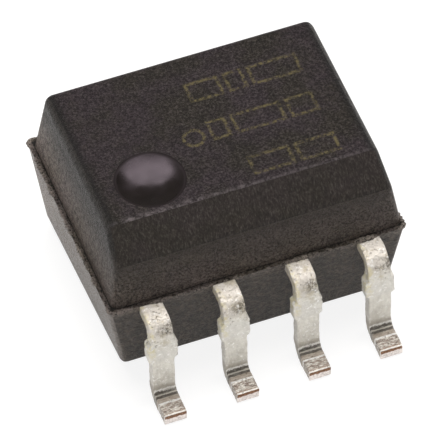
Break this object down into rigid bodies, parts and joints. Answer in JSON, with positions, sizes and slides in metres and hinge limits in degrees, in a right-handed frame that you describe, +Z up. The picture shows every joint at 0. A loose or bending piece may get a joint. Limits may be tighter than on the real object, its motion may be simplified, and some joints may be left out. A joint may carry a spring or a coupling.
{
  "type": "soic chip",
  "caption": "Small-outline optocoupler in a tall drafted resin body with a chamfered long edge, a first-lead dimple and gull-wing leads for surface soldering.",
  "frame": {"origin": "on the board, under the middle of the outline", "axes": "+Y across the body and along the feet, away from leads 1 to 4; +X along the body from lead 1 towards lead 4; +Z up, away from the board"},
  "size_m": [0.0052, 0.0062, 0.0032],
  "materials": {
    "epoxy": "fine matte grain",
    "tinned_copper": "satin tin",
    "emitter_crystal": "polished",
    "silicon": "polished",
    "silver_epoxy": "matt",
    "clear_silicone": "clear, soft",
    "gold": "drawn wire"
  },
  "bodies": {
    "root": {"moulded_body": "epoxy", "lead_1": "tinned_copper", "lead_2": "tinned_copper", "lead_3": "tinned_copper", "lead_4": "tinned_copper", "lead_5": "tinned_copper", "lead_6": "tinned_copper", "lead_7": "tinned_copper", "lead_8": "tinned_copper", "emitter_chip_1": "emitter_crystal", "detector_chip_1": "silicon", "emitter_bond_1": "silver_epoxy", "detector_bond_1": "silver_epoxy", "light_guide_1": "clear_silicone", "emitter_wire_1": "gold", "output_wire_1": "gold", "ground_wire_1": "gold", "supply_wire_1": "gold", "emitter_chip_2": "emitter_crystal", "detector_chip_2": "silicon", "emitter_bond_2": "silver_epoxy", "detector_bond_2": "silver_epoxy", "light_guide_2": "clear_silicone", "emitter_wire_2": "gold", "output_wire_2": "gold", "ground_wire_2": "gold", "supply_wire_2": "gold"}
  },
  "joints": []
}
